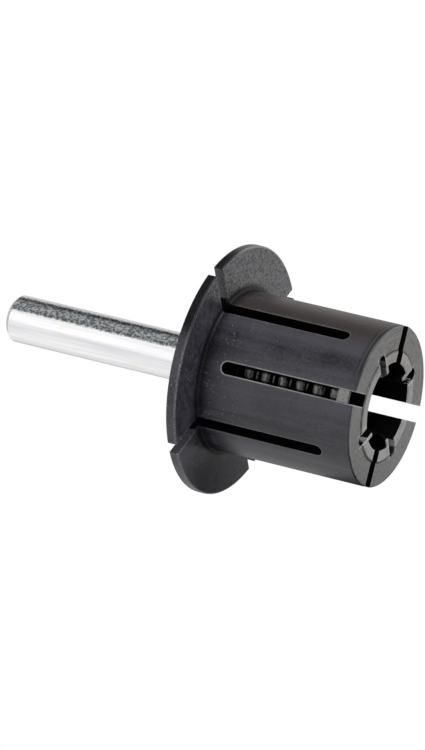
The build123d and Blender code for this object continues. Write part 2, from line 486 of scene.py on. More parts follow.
        # painted sheen: two long lighter bands along the body where the highlight falls
        painted_highlight_bands = (tree.angle.near(*self.upper_painted_sheen) | 0.6 * tree.angle.near(*self.lower_painted_sheen)) * body
        depth = tree.z - self.face_level
        hinge_side = tree.x.ramp(1 * MM, 5 * MM) * tree.y.ramp(1 * MM, -3 * MM) * body
        return [
            (painted_highlight_bands * (0.4 + 0.6 * cloud), self.painted_sheen),
            # painted reflection: a warm tint on the top of the body
            (0.9 * tree.x.ramp(6 * MM, 12 * MM) * body, (self.tone * 1.5, self.tone * 1.05, self.tone, 1)),
            # painted shade band behind the front rim on the hinge side, with a painted highlight line in it
            (0.75 * depth.ramp(1.7 * MM, 0.9 * MM) * hinge_side, self.rim_painted_shade),
            (0.8 * depth.near(*self.rim_line) * hinge_side, self.rim_shine),
        ]

    def _face_coats(self, tree: MaterialBuilder, fine: Wire, face: Wire) -> list[tuple[Wire, Colour]]:
        """Lists the scuffs of the front face and the dark seam between sleeve and ring.

        Args:
            tree: The material's tree.
            fine: A fine noise.
            face: The mask of the front face.

        Returns:
            The mask and the colour of each coat.
        """
        turn = tree.node("ShaderNodeCombineXYZ", {}, {"X": tree.radius / (0.22 * MM), "Y": tree.angle * 1.5})
        turned = tree.node("ShaderNodeTexNoise", {}, {"Vector": turn, "Scale": 1.0, "Detail": 2.0})
        scuffed = (0.3 * fine + 0.4 * turned + 0.3 * tree.noise(0.5 * MM, detail=1.0)).ramp(0.38, 0.62)
        return [
            (face * (0.3 + 1.1 * scuffed), grey(self.face_tone, 0.93)),
            (0.85 * tree.radius.near(self.seam_radius, *self.seam_width) * face, self.seam_dirt),
        ]

    def _slot_edges(self, tree: MaterialBuilder, fine: Wire) -> tuple[Wire, Wire]:
        """Masks the slots and grooves: their edges, worn and painted lighter as a painted highlight, and the
        slots' walls, painted dark as painted shade.

        Args:
            tree: The material's tree.
            fine: A fine noise.

        Returns:
            The masks of their worn edges, which are also a painted highlight, and of the slots' walls, which
            are painted shade.
        """
        edge_wear_and_highlight = self._edge(tree.beside(self.grooves))
        edge_wear_and_highlight = edge_wear_and_highlight * tree.radius.ramp(self.groove_end + 0.15 * MM, self.groove_end)
        walls: Operand = 0.0
        for slot in self.slots:
            outside = tree.beside(slot)
            edge_wear_and_highlight = self._edge(outside) * slot.edge_wear_and_highlight | edge_wear_and_highlight
            # painted shade: the slots' walls go near-black
            walls = outside.ramp(0.05 * MM, 0.01 * MM) | walls
        walls = walls * tree.radius.ramp(BODY_RADIUS + 1.4 * MM, BODY_RADIUS + 0.8 * MM)
        near_face = tree.z.ramp(self.face_level + 0.3 * MM, self.face_level + 0.15 * MM)
        skin = tree.radius.ramp(BODY_RADIUS - 0.3 * MM, BODY_RADIUS - 0.1 * MM)
        patches = tree.noise(2.5 * MM).ramp(0.3, 0.6) * 0.5 + fine.ramp(0.2, 0.5) * 0.5
        return edge_wear_and_highlight * (skin | near_face) * patches, walls

    def _edge(self, outside: Wire) -> Wire:
        """Returns the mask of the worn line just outside an outline, which is also a painted highlight."""
        return outside.ramp(self.worn, self.worn / 2) * outside.ramp(0.0, 0.05 * MM)

    def _web(self, tree: MaterialBuilder) -> Wire:
        """Returns the mask of the thin web across the slot on the hinge side."""
        across = tree.x.near(0.0, *self.web_width) * (tree.y < -self.web_inside)
        return across * tree.z.near(self.web_middle, *self.web_width)

    def _specks(self, tree: MaterialBuilder) -> Wire:
        """Masks the pale specks that lie on the hinge side, most of them by the flange.

        Args:
            tree: The material's tree.

        Returns:
            The mask.
        """
        grid = tree.mapped((1 / self.speck_grid,) * 3)
        spots = tree.node("ShaderNodeTexVoronoi", {}, {"Vector": grid, "Scale": 1.0})
        by_flange = 0.12 + 0.88 * tree.z.ramp(14 * MM, 26 * MM)
        return spots.ramp(0.2, 0.06) * (tree.y < -2 * MM) * by_flange * tree.noise(3 * MM).ramp(0.35, 0.6)


@dataclass(frozen=True)
class RingPlastic(MouldedPlastic):
    """The ring's paler plastic, with painted light on its groove walls, worn where the grooves and ribs come
    to the front with a painted highlight there, and painted shade where it lies deep.
    """

    # deeper than this the ring is painted near-black as painted shade
    lit_depth: float = 2.2 * MM
    bore: Span = (7.15 * MM, 7.45 * MM)
    outside: float = 9.2 * MM
    far_ribs: Span = (7.8 * MM, 7.6 * MM)
    near_ribs: Span = (8.5 * MM, 8.7 * MM)
    low_rib: Span = (7.5 * MM, 7.3 * MM)

    def _inside(self, tree: MaterialBuilder, face: Wire) -> Wire:
        """Masks the bore, the outside, the ribs and whatever lies deep, which are painted near-black as
        painted shade.

        Args:
            tree: The material's tree.
            face: The mask of the front face; not used here.

        Returns:
            The mask.
        """
        deep = tree.z.ramp(self.lit_depth, self.lit_depth + 0.5 * MM)
        # painted highlight: scraps of the upper far rib are kept out of the painted shade
        painted_highlight_scraps = tree.noise(0.5 * MM, detail=1.0).ramp(0.52, 0.6)
        far = (tree.radius.ramp(*self.far_ribs) | (tree.x > 0.0) * (1 - painted_highlight_scraps)) * (tree.y > 0.0)
        near = tree.radius.ramp(*self.near_ribs) * (tree.y < 0.0)
        low = tree.radius.ramp(*self.low_rib) * (tree.x < 0.0) * (tree.y < 0.0)
        shaded = (far | near | low) * tree.z.ramp(0.12 * MM, 0.2 * MM)
        inner, outer = self.bore
        bore = tree.radius.ramp(inner, inner + 0.1 * MM) * tree.radius.ramp(outer, outer - 0.05 * MM)
        wall = bore | tree.radius.ramp(self.outside, self.outside + 0.05 * MM)
        return deep | shaded | wall * tree.z.ramp(0.2 * MM, 0.3 * MM)


@dataclass(frozen=True)
class ZincPlate:
    """Bright zinc plating on turned steel, mottled and painted darker on the upper side as a painted
    reflection, and painted black inside the sleeve as painted shade, with painted highlight rings there.
    """

    roughness: float = 0.1
    mottled_from: Span = (0.9 * MM, 1.5 * MM)
    mottled_to: Span = (3.8 * MM, 3.6 * MM)
    # where the painted highlight rings on the spindle start, and their pitch
    glint_start: float = 10.05 * MM
    glint_pitch: float = 3.05 * MM
    # the mottle's dark tone is a painted reflection on the upper side
    mottle: tuple[Colour, Colour] = ((0.3, 0.33, 0.35, 1), (0.95, 0.98, 1.0, 1))
    drawn: tuple[Colour, Colour] = ((0.8, 0.79, 0.83, 1), (0.93, 0.93, 0.92, 1))
    stain: Colour = (0.85, 0.74, 0.56, 1)
    # the black of the painted shade inside the sleeve
    painted_shade_black: Colour = (0.004, 0.004, 0.005, 1)

    def make(self, name: str) -> Material:
        """Makes the material.

        Args:
            name: Its name.

        Returns:
            The material.
        """
        tree = MaterialBuilder(name)
        bloom = tree.noise(0.36 * MM, (1, 1, 1.3))
        lines = tree.noise(0.4 * MM, (1, 1, 40), 2.0)
        upper = tree.x.ramp(*self.mottled_from) * tree.x.ramp(*self.mottled_to)
        stained = 0.5 * tree.noise(3.5 * MM, (1, 1, 1.6)).ramp(0.57, 0.72)
        clean = tree.mix(stained, tree.mix(lines.ramp(0.3, 0.7), *self.drawn), self.stain)
        # upper side: mottled plating, painted darker as a painted reflection
        colour = tree.mix(upper, clean, tree.mix(bloom.ramp(0.43, 0.57), *self.mottle))
        # painted shade: the spindle inside the sleeve is black, with painted highlight rings between the
        # spring's coils
        inner = tree.z.ramp(SHOULDER + 0.3 * MM, SHOULDER)
        painted_highlight_bands = (tree.z - self.glint_start).apply("PINGPONG", self.glint_pitch / 2).ramp(0.22 * MM, 0.1 * MM)
        painted_highlight_bands = painted_highlight_bands * tree.x.near(0.0, 0.8 * MM, 0.4 * MM)
        look = {"Base Color": tree.mix(inner, colour, tree.mix(painted_highlight_bands, self.painted_shade_black, grey(1.0)))}
        look["Roughness"] = self.roughness + 0.12 * bloom * upper + inner * (0.35 - 0.2 * painted_highlight_bands)
        look["Metallic"] = 1 - 0.8 * painted_highlight_bands * inner
        look["Normal"] = tree.bump(0.15 * lines + bloom * (0.15 + upper))
        return tree.end(tree.shader(look))


@dataclass(frozen=True)
class SpringWire:
    """Drawn steel wire, painted darker towards the slot's walls as their painted shadow."""

    roughness: float = 0.45
    # across the slot, where the painted shadow starts and where it is whole
    shade_from: float = 0.45 * MM
    shade_to: float = 0.85 * MM
    steel: tuple[Colour, Colour] = ((0.5, 0.5, 0.52, 1), (1, 1, 1, 1))
    # the black of the painted shadow
    painted_shade_black: Colour = (0.01, 0.01, 0.012, 1)

    def make(self, name: str) -> Material:
        """Makes the material.

        Args:
            name: Its name.

        Returns:
            The material.
        """
        tree = MaterialBuilder(name)
        mottle = tree.noise(0.5 * MM, (1, 1, 0.4))
        # painted shadow of the slot's walls on the wire
        slot_shade = 0.95 * tree.x.apply("ABSOLUTE").ramp(self.shade_from, self.shade_to)
        colour = tree.mix(slot_shade, tree.mix(mottle.ramp(0.35, 0.65), *self.steel), self.painted_shade_black)
        look = {"Base Color": colour, "Roughness": self.roughness + 0.15 * mottle, "Metallic": 0.7}
        look["Normal"] = tree.bump(tree.noise(0.15 * MM, detail=2.0), 0.004 * MM, 0.6)
        return tree.end(tree.shader(look))


@dataclass(frozen=True)
class ConePlastic:
    """Black plastic with a dull skin, for the cone inside the sleeve."""

    tone: float = 0.012

    def make(self, name: str) -> Material:
        """Makes the material.

        Args:
            name: Its name.

        Returns:
            The material.
        """
        tree = MaterialBuilder(name)
        cloud = tree.noise(3 * MM)
        colour = tree.mix(cloud, grey(self.tone, 1.1), grey(self.tone * 1.8))
        look = {"Base Color": colour, "Roughness": 0.45 + 0.1 * cloud}
        look["Normal"] = tree.bump(tree.noise(0.3 * MM), 0.008 * MM, 0.5)
        return tree.end(tree.shader(look))


PATH_RADIUS = 10 * MM
SEGMENTS = 192
MERGE_GAP = 0.002 * MM
SHARP_ANGLE = math.radians(46)


@dataclass(frozen=True)
class Corner:
    """A corner of an outline, and how far it is rounded off."""

    across: float
    up: float
    round: float = 0.0

    def point(self) -> Vector:
        """Returns the corner as a point in the XY plane."""
        return Vector((self.across, self.up, 0))


def rounded(corners: Sequence[Corner], closed: bool = True, steps: int = 4) -> list[Vector]:
    """Rounds the corners of an outline.

    Args:
        corners: The corners in order.
        closed: False if the first and the last corner are ends.
        steps: The straight steps of each round.

    Returns:
        The points of the rounded outline, in the XY plane.
    """
    points = []
    for place, corner in enumerate(corners):
        middle = corner.point()
        end = not closed and place in (0, len(corners) - 1)
        if end or not corner.round:
            points.append(middle)
            continue
        back = (corners[place - 1].point() - middle).normalized()
        ahead = (corners[(place + 1) % len(corners)].point() - middle).normalized()
        half = back.angle(ahead) / 2
        centre = middle + (back + ahead).normalized() * corner.round / math.sin(half)
        first = middle + back * corner.round / math.tan(half) - centre
        last = middle + ahead * corner.round / math.tan(half) - centre
        points += [centre + first.slerp(last, step / steps) * corner.round for step in range(steps + 1)]
    return points


def placed(name: str, data: Any) -> Object:
    """Puts a new object with this data in the scene.

    Args:
        name: The object's name.
        data: A mesh, a lamp's data or a camera's data.

    Returns:
        The object.
    """
    made = bpy.data.objects.new(name, data)
    bpy.context.scene.collection.objects.link(made)
    return made


def new_object(
    name: str, points: Sequence[Vector], edges: Sequence[Sequence[int]], faces: Sequence[Sequence[int]]
) -> Object:
    """Makes an object with a new mesh.

    Args:
        name: Its name.
        points: Its points.
        edges: The edges, where it has no faces.
        faces: The faces.

    Returns:
        The object.
    """
    mesh = bpy.data.meshes.new(name)
    mesh.from_pydata(points, edges, faces)
    return placed(name, mesh)


def face_outwards(mesh: Mesh) -> None:
    """Turns the faces of a closed mesh outwards.

    Args:
        mesh: The mesh.
    """
    shape = bmesh.new()
    shape.from_mesh(mesh)
    bmesh.ops.recalc_face_normals(shape, faces=shape.faces)
    if shape.calc_volume(signed=True) < 0:
        bmesh.ops.reverse_faces(shape, faces=shape.faces)
    shape.to_mesh(mesh)
    shape.free()


def lofted(name: str, outlines: Sequence[Sequence[Vector]]) -> Object:
    """Joins outlines into one closed solid.

    Args:
        name: The solid's name.
        outlines: Two or more outlines with the same number of points.

    Returns:
        The solid.
    """
    count = len(outlines[0])
    points = [point for outline in outlines for point in outline]
    faces = [list(range(count)), [len(points) - 1 - place for place in range(count)]]
    for level in range(len(outlines) - 1):
        for place in range(count):
            first, second = (level * count + corner % count for corner in (place, place + 1))
            faces.append([second, first, first + count, second + count])
    made = new_object(name, points, [], faces)
    face_outwards(made.data)
    return made


class Way(Enum):
    """Which way a pocket goes into the part."""

    THROUGH_WALL = "in from the side, and long along Z"
    INTO_FACE = "up from the front face, and long along X"


@dataclass
class Pocket:
    """A cutter for a slot, which also rounds the edges that it leaves.

    It points along +X. Its length runs from low to high, along Z through a wall and along X into a
    face. It starts at a depth inside the part and comes out at the skin.
    """

    half_width: float
    low: float
    high: float
    inside: float
    skin: float
    way: Way = Way.THROUGH_WALL
    edge: float = 0.14 * MM
    round_low: bool = False
    round_high: bool = False
    open_low: bool = False
    from_back: bool = False
    overrun: float = 1.2 * MM
    steps: int = 3
    arc_steps: int = 16

    def pattern(self, name: str, first: float, step: float = 0.0, count: int = 1) -> "Pattern":
        """Makes the cutter.

        Args:
            name: Its name.
            first: The angle about Z of the first cut, in degrees.
            step: The angle from one cut to the next.
            count: The number of cuts.

        Returns:
            The cutter with its places.
        """
        levels = [(None, 0.0)]
        for turn in self._turns(self.steps):
            levels.append((self.edge * (1 - math.sin(turn)), self.edge * (1 - math.cos(turn))))
        levels.append((-self.overrun, self.edge))
        shape = lofted(name, [self._level(depth, spread) for depth, spread in levels])
        return Pattern(shape, first, step, count)

    @staticmethod
    def _turns(steps: int) -> list[float]:
        """Returns the angles of a quarter turn in so many steps."""
        return [math.pi / 2 * step / steps for step in range(steps + 1)]

    def _level(self, depth: float | None, spread: float) -> list[Vector]:
        """Makes the outline at one depth.

        Args:
            depth: How far it lies under the skin, or None for the inner end.
            spread: How much wider it is than the slot.

        Returns:
            The points of the outline.
        """
        points = []
        for along, side in self._outline(spread):
            if self.way is Way.INTO_FACE:
                below = depth if not self.from_back or depth is None else -depth
                level = self.inside if depth is None else self.skin + below
                points.append(Vector((along, side, level)))
            else:
                surface = math.sqrt(self.skin ** 2 - side ** 2)
                level = self.inside if depth is None else surface - depth
                points.append(Vector((level, side, along)))
        return points

    def _outline(self, spread: float) -> list[tuple[float, float]]:
        """Makes the outline of the slot.

        Args:
            spread: How much wider it is than the slot.

        Returns:
            Its points, each as the place along the slot and sideways.
        """
        width = self.half_width + spread
        side = self._low_end(width, spread)
        if self.round_high:
            centre = self.high - self.half_width
            turns = reversed(self._turns(self.arc_steps))
            side += [(centre + width * math.cos(turn), width * math.sin(turn)) for turn in turns]
        else:
            side += [(self.high + spread, width), (self.high + spread, 0.0)]
        return side + [(along, -across) for along, across in reversed(side[1:-1])]

    def _low_end(self, width: float, spread: float) -> list[tuple[float, float]]:
        """Makes half of the low end, from the middle line outwards.

        Args:
            width: Half of the outline's width.
            spread: How much wider it is than the slot.

        Returns:
            Its points.
        """
        if self.round_low:
            centre = self.low + self.half_width
            turns = self._turns(self.arc_steps)
            return [(centre - width * math.cos(turn), width * math.sin(turn)) for turn in turns]
        if not self.open_low:
            return [(self.low - spread, 0.0), (self.low - spread, width)]
        end = [(self.low - self.overrun, 0.0), (self.low - self.overrun, self.half_width + self.edge)]
        for turn in reversed(self._turns(self.steps)):
            across = self.half_width + max(spread, self.edge * (1 - math.cos(turn)))
            end.append((self.low + self.edge * (1 - math.sin(turn)), across))
        return end


@dataclass
class Pattern:
    """A shape that is repeated round the axis, by angles in degrees."""

    shape: Object
    first: float
    step: float = 0.0
    count: int = 1


class TurningTree(TreeBuilder):
    """A Geometry Nodes tree that turns an outline round Z, adds ribs to it and cuts it."""

    def __init__(self, name: str, cuts: Sequence[Pattern], ribs: Sequence[Pattern]) -> None:
        """Makes the tree.

        Args:
            name: The tree's name.
            cuts: What is cut out of the turned solid.
            ribs: What is added to it.
        """
        super().__init__(bpy.data.node_groups.new(name, "GeometryNodeTree"))
        self.values: dict[str, Any] = {}
        self.tree.interface.new_socket("Geometry", in_out="OUTPUT", socket_type="NodeSocketGeometry")
        self.tree.interface.new_socket("Outline", in_out="INPUT", socket_type="NodeSocketGeometry")
        self._declare("Path radius", "Float", PATH_RADIUS)
        self._declare("Segments", "Int", SEGMENTS)
        self.finish_input = self._declare("Finish", "Material", None)
        labels = {"Cut": cuts, "Rib": ribs}
        for kind, patterns in labels.items():
            for place, pattern in enumerate(patterns):
                self._declare(f"{kind} {place} shape", "Object", pattern.shape)
                self._declare(f"{kind} {place} first angle", "Float", math.radians(pattern.first))
                self._declare(f"{kind} {place} step", "Float", math.radians(pattern.step))
                self._declare(f"{kind} {place} count", "Int", pattern.count)
        self.given = self.node("NodeGroupInput", {}, {}).socket.node
        solid = self._turned()
        for kind, operation in (("Rib", "UNION"), ("Cut", "DIFFERENCE")):
            shapes = [self._around(f"{kind} {place}") for place in range(len(labels[kind]))]
            solid = self._boolean(operation, solid, shapes) if shapes else solid
        real = self.node("GeometryNodeRealizeInstances", {}, {"Geometry": solid})
        inputs = {"Geometry": real, "Material": self._input("Finish")}
        coated = self.node("GeometryNodeSetMaterial", {}, inputs)
        self.node("NodeGroupOutput", {}, {"Geometry": coated})

    def _declare(self, name: str, kind: str, value: Any) -> str:
        """Adds a named input and notes the value that it gets.

        Args:
            name: The input's name.
            kind: The kind of its socket, such as Float.
            value: The value.

        Returns:
            The input's identifier.
        """
        socket = self.tree.interface.new_socket(name, in_out="INPUT", socket_type=f"NodeSocket{kind}")
        self.values[socket.identifier] = value
        return socket.identifier

    def _input(self, name: str) -> Wire:
        """Returns a named input."""
        return Wire(self, self._socket(self.given.outputs, name))

    def _turned(self) -> Wire:
        """Turns the outline round a circle of the path's radius.

        Returns:
            The turned solid.
        """
        outline = self.node("GeometryNodeMeshToCurve", {}, {"Mesh": self._input("Outline")})
        sizes = {"Resolution": self._input("Segments"), "Radius": self._input("Path radius")}
        circle = self.node("GeometryNodeCurvePrimitiveCircle", {"mode": "RADIUS"}, sizes)
        level = self.node("GeometryNodeSetCurveNormal", {"mode": "Z_UP"}, {"Curve": circle})
        swept = self.node("GeometryNodeCurveToMesh", {}, {"Curve": level, "Profile Curve": outline})
        return self.node("GeometryNodeMergeByDistance", {}, {"Geometry": swept, "Distance": MERGE_GAP})

    def _around(self, label: str) -> Wire:
        """Repeats a shape round the axis.

        Args:
            label: What the names of its inputs begin with.

        Returns:
            The shapes.
        """
        shape = self.node("GeometryNodeObjectInfo", {}, {"Object": self._input(f"{label} shape")}, "Geometry")
        spots = self.node("GeometryNodePoints", {}, {"Count": self._input(f"{label} count")})
        index = self.node("GeometryNodeInputIndex", {}, {})
        turn = self._input(f"{label} first angle") + index * self._input(f"{label} step")
        turned = self.node("FunctionNodeAxisAngleToRotation", {}, {"Axis": (0, 0, 1), "Angle": turn})
        inputs = {"Points": spots, "Instance": shape, "Rotation": turned}
        copies = self.node("GeometryNodeInstanceOnPoints", {}, inputs)
        return self.node("GeometryNodeRealizeInstances", {}, {"Geometry": copies})

    def _boolean(self, operation: str, solid: Wire, others: Sequence[Wire]) -> Wire:
        """Takes shapes out of a solid, or adds them to it.

        Args:
            operation: DIFFERENCE or UNION.
            solid: The solid.
            others: The shapes.

        Returns:
            The result.
        """
        settings = {"operation": operation, "solver": "EXACT"}
        result = self.node("GeometryNodeMeshBoolean", settings, {"Self Intersection": True})
        first = "Mesh 1" if operation == "DIFFERENCE" else "Mesh 2"
        sockets = {socket.identifier: socket for socket in result.socket.node.inputs}
        for wire, key in [(solid, first)] + [(other, "Mesh 2") for other in others]:
            self.tree.links.new(wire.socket, sockets[key])
        return result


def turn_solid(
    name: str, outline: Sequence[Vector], finish: Material, closed: bool = True,
    cuts: Sequence[Pattern] = (), ribs: Sequence[Pattern] = (),
) -> Object:
    """Makes a turned piece with its cuts and ribs as one plain mesh.

    Args:
        name: The piece's name.
        outline: Half of its section, with X as the radius and Y as the height.
        finish: Its material.
        closed: False if the outline starts and ends on the axis.
        cuts: What is cut out of it.
        ribs: What is added to it.

    Returns:
        The piece.
    """
    points = [Vector((point.x - PATH_RADIUS, -point.y, 0)) for point in outline]
    edges = [(place, place + 1) for place in range(len(points) - 1)]
    if closed:
        edges.append((len(points) - 1, 0))
    piece = new_object(name, points, edges, [])
    tree = TurningTree(f"{name}_turning", cuts, ribs)
    modifier = piece.modifiers.new("turning", "NODES")
    modifier.node_group = tree.tree
    for identifier, value in tree.values.items():
        modifier[identifier] = value
    modifier[tree.finish_input] = finish
    settle(piece)
    for pattern in (*cuts, *ribs):
        mesh = pattern.shape.data
        bpy.data.objects.remove(pattern.shape)
        bpy.data.meshes.remove(mesh)
    return piece


def take_mesh(piece: Object) -> Mesh:
    """Gives a piece the plain mesh that its modifiers make, and takes them off.

    Args:
        piece: The piece.

    Returns:
        The mesh.
    """
    graph = bpy.context.evaluated_depsgraph_get()
    mesh = bpy.data.meshes.new_from_object(piece.evaluated_get(graph), depsgraph=graph)
    piece.modifiers.clear()
    piece.data = mesh
    return mesh


def settle(piece: Object) -> None:
    """Turns what the modifiers make into a plain mesh with smooth faces and even shading.

    Args:
        piece: The piece.
    """
    mesh = take_mesh(piece)
    face_outwards(mesh)
    mesh.shade_smooth()
    mesh.set_sharp_from_angle(angle=SHARP_ANGLE)
    piece.modifiers.new("weights", "WEIGHTED_NORMAL").keep_sharp = True
    take_mesh(piece)


def stand_for(piece: Object, body: str, node: str) -> Object:
    """Lets a piece ride on a body in place of a CAD node.

    Args:
        piece: The piece.
        body: The body.
        node: The CAD node.

    Returns:
        The piece.
    """
    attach(piece, body)
    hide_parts(node)
    return piece


@dataclass
class Sleeve:
    """The expanding sleeve: a slotted body and a thin flange in four segments."""

    front: float = 0.15 * MM
    body_radius: float = BODY_RADIUS
    flange_front: float = FLANGE_FRONT
    flange_back: float = 29.6 * MM
    flange_radius: float = FLANGE_RADIUS
    bore_radius: float = 8.1 * MM
    seat_front: float = 23.6 * MM
    seat_back_radius: float = 6.15 * MM
    ring_seat: float = 4.65 * MM
    ring_seat_radius: float = 9.35 * MM
    bead_groove: Span = (1.79 * MM, 3.01 * MM)
    bead_groove_radius: float = 9.7 * MM
    bead_groove_slope: float = 0.31 * MM
    edge_round: float = 0.3 * MM
    root_round: float = 0.5 * MM
    seat_round: float = 0.15 * MM
    mouth_round: float = 0.08 * MM
    front_slot_end: float = 24.25 * MM
    rear_slot_end: float = 5.35 * MM
    web_inside: float = 12.9 * MM
    groove_start: float = 6 * MM
    groove_end: float = 10.1 * MM
    slot_inside: float = 5.0 * MM
    notch_inside: float = 20 * MM
    lap: float = 0.1 * MM

    def build(self) -> Object:
        """Makes the sleeve in place of its CAD node.

        Returns:
            The sleeve.
        """
        grooves = SlotPlace(GROOVE_ANGLE, 90, SLOT_HALF, -self.front, self.front)
        # inward of this radius the sleeve is painted near-black as painted shade
        painted_shade_radius = self.body_radius - self.lap
        plastic = MouldedPlastic(self._slot_places(), grooves, self.front, painted_shade_radius, self.ring_seat_radius)
        finish = plastic.make("sleeve_plastic")
        piece = turn_solid("sleeve_moulding", rounded(self._section()), finish, cuts=self._cuts())
        return stand_for(piece, "sleeve", "expanding_sleeve")

    def _section(self) -> list[Corner]:
        """Lays out half of the section, from the ring's seat outwards.

        Returns:
            Its corners.
        """
        low, high = self.bead_groove
        return [
            Corner(self.ring_seat_radius, self.front, self.mouth_round),
            Corner(self.body_radius, self.front, self.edge_round),
            Corner(self.body_radius, self.flange_front, self.root_round),
            Corner(self.flange_radius, self.flange_front, self.edge_round),
            Corner(self.flange_radius, self.flange_back, self.edge_round),
            Corner(self.seat_back_radius, self.flange_back, self.seat_round),
            Corner(self.bore_radius, self.seat_front),
            Corner(self.bore_radius, self.ring_seat),
            Corner(self.ring_seat_radius, self.ring_seat),
            Corner(self.ring_seat_radius, high),
            Corner(self.bead_groove_radius, high - self.bead_groove_slope),
            Corner(self.bead_groove_radius, low + self.bead_groove_slope),
            Corner(self.ring_seat_radius, low),
        ]

    def _slot_places(self) -> tuple[SlotPlace, ...]:
        """Tells where the slots lie, for the worn edges.

        Returns:
            The plain slots, the split, the hinge slot and the rear slots.
        """
        end = self.front_slot_end
        return (
            SlotPlace(0, 180, SLOT_HALF, -FAR, end - SLOT_HALF),
            SlotPlace(90, 360, SPLIT_HALF, -FAR, end - SPLIT_HALF),
            SlotPlace(270, 360, SLOT_HALF, -FAR, end - SLOT_HALF, 0.95),
            SlotPlace(45, 90, SLOT_HALF, self.rear_slot_end + SLOT_HALF, FAR, 0.22),
        )

    def _cuts(self) -> list[Pattern]:
        """Makes the cutters of the slots, the grooves and the recess under the web.

        Returns:
            The cutters with their places.
        """
        wall = {"inside": self.slot_inside, "skin": self.body_radius}
        opened = {"low": self.front, "high": self.front_slot_end, "open_low": True, "round_high": True}
        front, back, rim, lap = self.flange_front, self.flange_back, self.flange_radius, self.lap
        face, deep, past = Way.INTO_FACE, 3 * lap, rim + 2 * MM
        plain = Pocket(SLOT_HALF, **opened, **wall)
        split = Pocket(SPLIT_HALF, **opened, **wall)
        hinge = Pocket(SLOT_HALF, WEB_BACK, self.front_slot_end, round_high=True, **wall)
        mouth = Pocket(SLOT_HALF, self.front, WEB_FRONT, open_low=True, **wall)
        under_web = {"inside": self.slot_inside, "skin": self.web_inside, "edge": 0.0, "overrun": 0.0}
        recess = Pocket(SLOT_HALF, WEB_FRONT - deep, WEB_BACK + deep, **under_web)
        rear = Pocket(SLOT_HALF, self.rear_slot_end, front + 2 * lap, round_low=True, **wall)
        before = Pocket(SLOT_HALF, self.body_radius - 2 * lap, past, front + deep, front, face)
        behind = Pocket(SLOT_HALF, self.slot_inside, past, front + lap, back, face, from_back=True)
        notch = Pocket(SLOT_HALF, front - MM, back + MM, self.notch_inside, rim)
        ends = (self.groove_start, self.groove_end)
        groove = Pocket(SLOT_HALF, *ends, GROOVE_TOP, self.front, face, round_high=True)
        return [
            plain.pattern("plain_slot", 0, 180, 2),
            split.pattern("split", 90),
            hinge.pattern("hinge_slot", 270),
            mouth.pattern("hinge_slot_mouth", 270),
            recess.pattern("web_recess", 270),
            rear.pattern("rear_slot", 45, 90, 4),
            before.pattern("flange_slot_front", 45, 90, 4),
            behind.pattern("flange_slot_back", 45, 90, 4),
            notch.pattern("flange_notch", 45, 90, 4),
            groove.pattern("face_groove", GROOVE_ANGLE, 90, 4),
        ]


